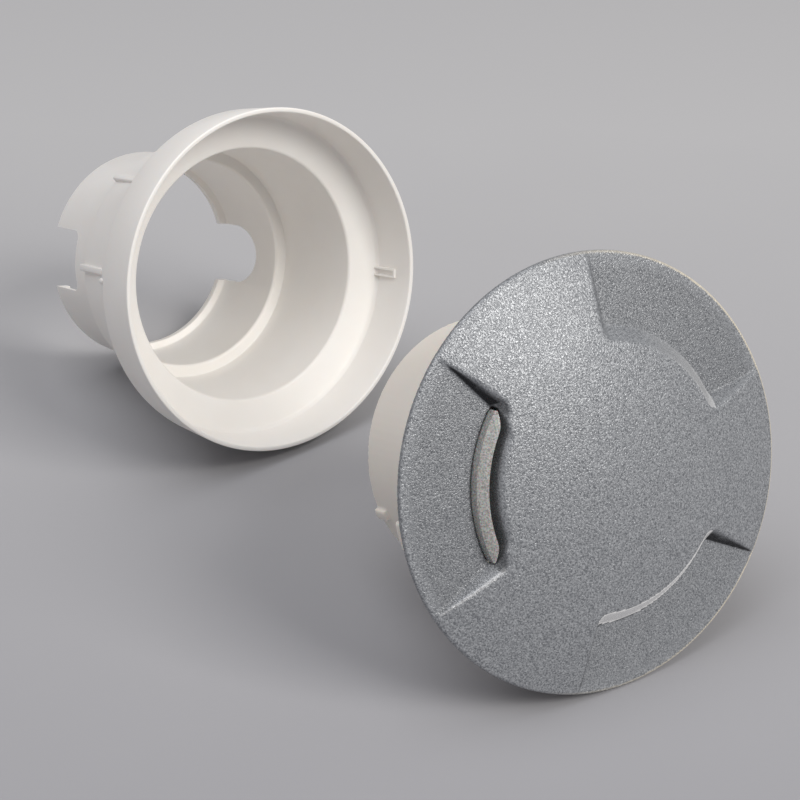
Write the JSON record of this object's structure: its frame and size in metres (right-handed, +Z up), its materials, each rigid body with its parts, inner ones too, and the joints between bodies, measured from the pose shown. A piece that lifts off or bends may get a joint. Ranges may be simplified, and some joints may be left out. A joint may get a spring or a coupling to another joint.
{
  "type": "in-ground spotlight",
  "caption": "Round in-ground spotlight with a domed cast cover, side window and tubular housing, lying beside its stepped installation sleeve.",
  "frame": {"origin": "centre of the bounding box at floor level, between the light and its sleeve, both lying on the floor", "axes": "+Z up; -Y towards the viewer; the light's axis points 31.2 degrees to the right of -Y and 21.1 degrees up, the sleeve's 39.4 degrees to the right and 15.4 degrees up"},
  "size_m": [0.2208, 0.2314, 0.1125],
  "materials": {
    "sleeve_plastic": "moulded off-white plastic, smooth, slightly waxy",
    "cast_cover": "die-cast aluminium, hammered grey lacquer",
    "frosted_lens": "frosted translucent plastic",
    "white_rubber": "soft white silicone",
    "cream_rubber": "soft cream silicone cord",
    "housing_plastic": "moulded white plastic, smooth",
    "black_rubber": "black rubber",
    "stainless": "stainless screw",
    "spreader_metal": "milled aluminium",
    "thermal_pad": "soft grey-blue gap filler",
    "white_board": "white solder mask",
    "led_phosphor": "yellow phosphor in a white frame",
    "reflector_white": "bright white moulded plastic",
    "wire_red": "red wire insulation",
    "green_board": "green solder mask",
    "transformer_tape": "yellow taped winding between ferrite plates",
    "capacitor_sleeve": "dark shrink sleeve",
    "terminal_green": "moulded green plastic",
    "plated_screw": "plated brass",
    "gland_black": "black nylon"
  },
  "bodies": {
    "sleeve": {"installation_sleeve": "sleeve_plastic"},
    "light": {"cover": "cast_cover", "window_lens": "frosted_lens", "lens_gasket": "white_rubber", "cover_gasket": "cream_rubber", "housing": "housing_plastic", "rim_seal": "black_rubber", "cover_screws": "stainless", "heat_spreader": "spreader_metal", "spreader_screws": "stainless", "thermal_pad": "thermal_pad", "led_board": "white_board", "board_screws": "stainless", "leds": "led_phosphor", "led_reflector": "reflector_white", "led_wires": "wire_red", "driver_board": "green_board", "driver_transformer": "transformer_tape", "driver_capacitors": "capacitor_sleeve", "terminal_block": "terminal_green", "terminal_screws": "plated_screw", "gland_body": "gland_black", "gland_washer": "black_rubber", "gland_locknut": "gland_black", "gland_seal": "black_rubber"},
    "gland_nut": {"gland_nut": "gland_black"}
  },
  "joints": [
    {"name": "light_lift", "type": "slide", "parent": "sleeve", "child": "light", "axis": [0, 0, 1], "range_m": [0, 0.13]},
    {"name": "gland_nut_turn", "type": "hinge", "parent": "light", "child": "gland_nut", "pos_m": [0.02179, -0.02, 0.02969], "axis": [-0.4833, 0.798, -0.3599], "range_deg": [0, 1800]}
  ]
}
